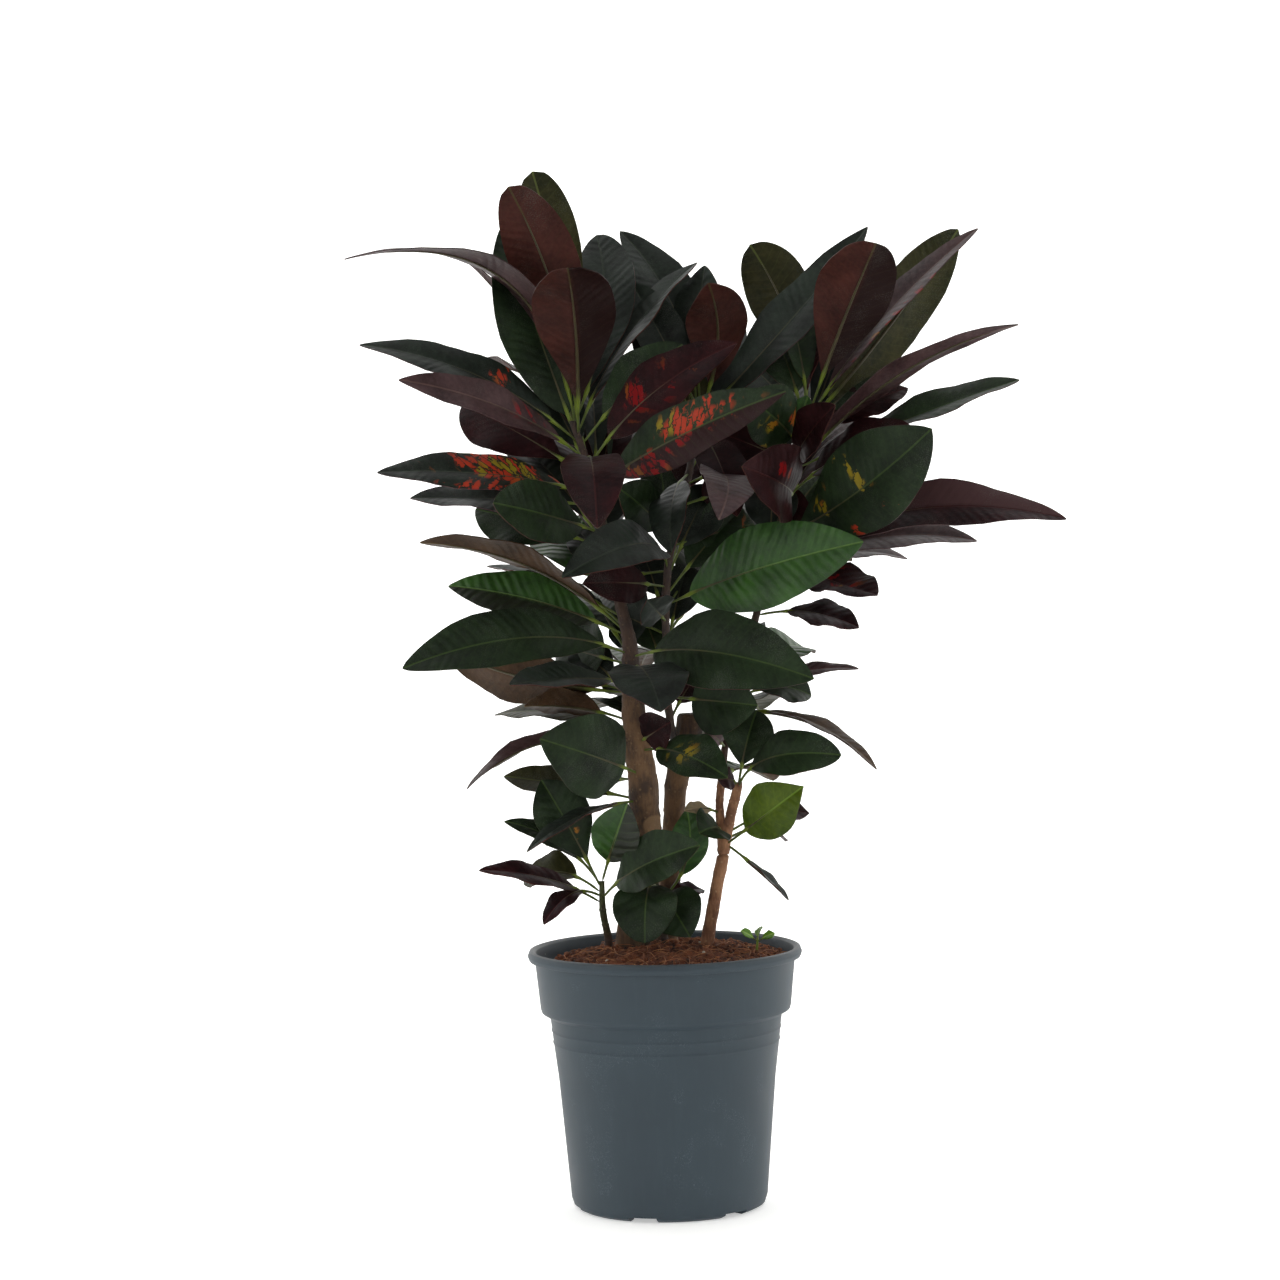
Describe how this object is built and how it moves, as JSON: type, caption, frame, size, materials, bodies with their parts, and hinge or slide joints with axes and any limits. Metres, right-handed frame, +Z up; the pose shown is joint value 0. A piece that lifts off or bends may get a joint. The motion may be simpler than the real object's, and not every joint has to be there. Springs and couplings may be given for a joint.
{
  "type": "potted croton",
  "caption": "Round nursery pot of peat soil with bare stems and leafy croton stems in dark green, maroon, bronze and red-flecked leaves.",
  "frame": {"origin": "centre of the pot's underside, on the surface that the pot stands on", "axes": "+Z up along the pot's axis, -Y towards the front of the plant, +X to the right seen from the front"},
  "size_m": [0.5357, 0.3208, 0.7942],
  "materials": {
    "pot_plastic": "moulded satin, light dust and scuffs",
    "peat": "rough crumbled peat with coir fibres",
    "bark": "dry matt bark",
    "left_leaves": "satin waxy leaves, maroon, bronze and dark green",
    "centre_leaves": "satin waxy leaves, dark green and grey green",
    "right_leaves": "satin waxy leaves, maroon, brown and dark green",
    "shoot_leaves": "satin waxy dark green leaves",
    "seedling_green": "thin soft bright green leaves"
  },
  "bodies": {
    "root": {"pot": "pot_plastic", "soil": "peat", "left_trunk": "bark", "centre_trunk": "bark", "right_cane": "bark", "left_leafy_stem": "left_leaves", "centre_leafy_stem": "centre_leaves", "right_leafy_stem": "right_leaves", "left_shoot": "shoot_leaves", "middle_shoot": "shoot_leaves", "seedling": "seedling_green"}
  },
  "joints": []
}
